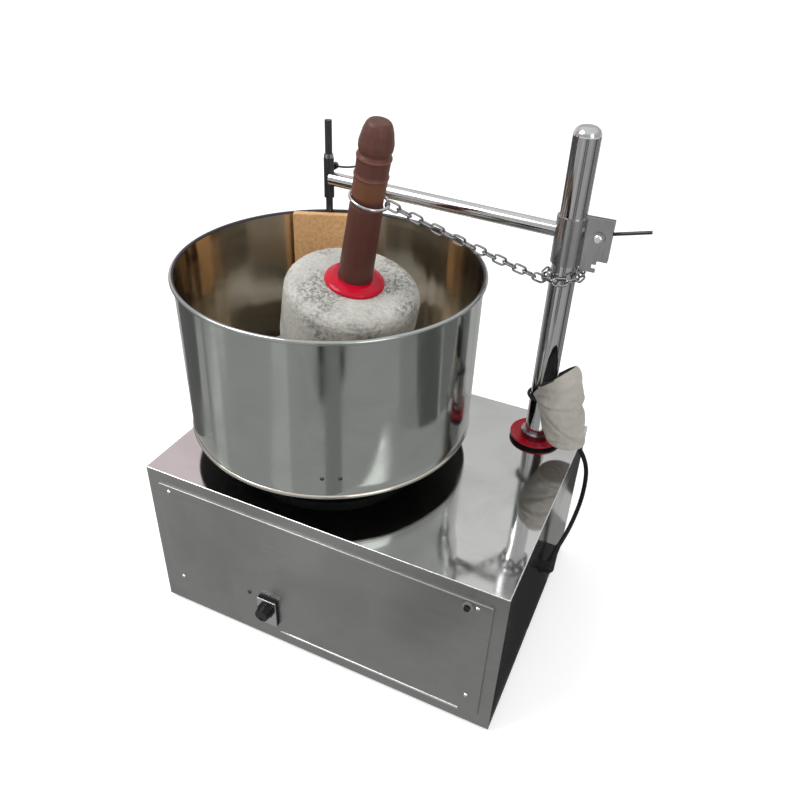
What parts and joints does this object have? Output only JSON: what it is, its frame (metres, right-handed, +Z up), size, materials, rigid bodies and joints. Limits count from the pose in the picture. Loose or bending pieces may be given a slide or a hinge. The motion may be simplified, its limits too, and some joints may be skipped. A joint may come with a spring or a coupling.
{
  "type": "wet grinder",
  "caption": "Table-top wet grinder: a polished drum with a granite base turns under a leaning pestle stone, on a steel cabinet with a post, a chain and a scraper arm.",
  "frame": {"origin": "on the floor under the middle of the outline, without the cord", "axes": "+Z up, +X to the right of the front, -Y towards the front with the switch"},
  "size_m": [0.5068, 0.3724, 0.6361],
  "materials": {
    "mirror_steel": "polished",
    "satin_steel": "satin",
    "bright_chrome": "polished",
    "plain_steel": "machined",
    "dark_steel": "worn",
    "cast_iron": "rough",
    "motor_paint": "satin",
    "copper_winding": "wound",
    "black_rubber": "matt",
    "black_plastic": "semi-gloss",
    "grey_plastic": "matt",
    "red_plastic": "glossy",
    "red_lens": "translucent look",
    "dark_wood": "varnished, turned",
    "pale_wood": "sawn",
    "granite": "pitted",
    "pouch_cloth": "creased"
  },
  "bodies": {
    "cabinet": {"bottom_tray": "plain_steel", "rubber_feet": "black_rubber", "left_side": "mirror_steel", "right_side": "mirror_steel", "rear_panel": "mirror_steel", "front_frame": "satin_steel", "access_panel": "satin_steel", "panel_screws": "bright_chrome", "top_cover": "mirror_steel", "switch_gasket": "black_rubber", "switch_plate": "satin_steel", "switch_body": "grey_plastic", "indicator_lamp": "red_lens", "reset_breaker": "grey_plastic", "cord_gland": "black_rubber", "power_cord": "black_rubber", "plug_pouch": "pouch_cloth", "pouch_tie": "black_rubber", "wiring": "grey_plastic", "capacitor": "plain_steel", "motor_plate": "plain_steel", "motor_housing": "motor_paint", "motor_stator": "copper_winding", "motor_cover": "motor_paint", "drive_belt": "black_rubber", "shaft_bearings": "plain_steel", "bearing_housing": "cast_iron", "mounting_bolts": "plain_steel", "shaft_seal": "black_rubber", "handle_ring": "bright_chrome", "chain": "bright_chrome", "post_socket": "cast_iron", "post_tube": "bright_chrome", "post_cap": "bright_chrome", "post_flange": "red_plastic", "post_lock_ring": "bright_chrome"},
    "drum_assembly": {"main_shaft": "plain_steel", "drum_pulley": "cast_iron", "drum_carrier": "cast_iron", "drum": "mirror_steel", "drum_rivets": "bright_chrome", "base_stone": "granite"},
    "motor_shaft": {"motor_rotor": "plain_steel", "motor_pulley": "cast_iron"},
    "pestle": {"pestle_stone": "granite", "stone_collar": "red_plastic", "wooden_handle": "dark_wood", "handle_rod": "plain_steel"},
    "arm": {"arm_clamp": "plain_steel", "arm_tube": "bright_chrome", "arm_sleeve": "dark_steel"},
    "clamp_bar": {"clamp_screw": "dark_steel"},
    "lock_lever": {"lock_screw": "dark_steel"},
    "rod": {"scraper_rod": "dark_steel", "rod_collar": "bright_chrome"},
    "scraper": {"scraper_board": "pale_wood", "board_clips": "plain_steel"},
    "knob": {"switch_knob": "black_plastic"},
    "reset": {"reset_button": "black_plastic"}
  },
  "joints": [
    {"name": "drum_spin", "type": "hinge", "parent": "cabinet", "child": "drum_assembly", "pos_m": [-0.07393, 0.0067, 0.3142], "axis": [0, 0, 1], "continuous": true},
    {"name": "motor_spin", "type": "hinge", "parent": "cabinet", "child": "motor_shaft", "pos_m": [0.11607, 0.0067, 0.14], "axis": [0, 0, 1], "continuous": true},
    {"name": "pestle_spin", "type": "hinge", "parent": "cabinet", "child": "pestle", "pos_m": [-0.05994, 0.01803, 0.37919], "axis": [0.1915, -0.0893, 0.9774], "continuous": true},
    {"name": "arm_height", "type": "slide", "parent": "cabinet", "child": "arm", "axis": [0, 0, 1], "range_m": [0, 0.08]},
    {"name": "clamp_screw_turn", "type": "hinge", "parent": "arm", "child": "clamp_bar", "pos_m": [0.19958, 0.1187, 0.513], "axis": [0, -1, 0], "range_deg": [-100, 80]},
    {"name": "lock_screw_turn", "type": "hinge", "parent": "arm", "child": "lock_lever", "pos_m": [-0.15251, 0.14297, 0.525], "axis": [0, -1, 0], "range_deg": [-90, 70]},
    {"name": "scraper_height", "type": "slide", "parent": "arm", "child": "rod", "axis": [0, 0, 1], "range_m": [0, 0.017]},
    {"name": "scraper_turn", "type": "hinge", "parent": "rod", "child": "scraper", "pos_m": [-0.15251, 0.14297, 0.513], "axis": [0, 0, 1], "range_deg": [-11, 17]},
    {"name": "switch_turn", "type": "hinge", "parent": "cabinet", "child": "knob", "pos_m": [-0.07193, -0.1742, 0.068], "axis": [0, -1, 0], "range_deg": [0, 90]},
    {"name": "reset_press", "type": "slide", "parent": "cabinet", "child": "reset", "axis": [0, 1, 0], "range_m": [0, 0.0025], "stiffness_N_per_m": 400}
  ],
  "couplings": [
    {"joint": "motor_spin", "follows": "drum_spin", "ratio": 6.4124}
  ]
}
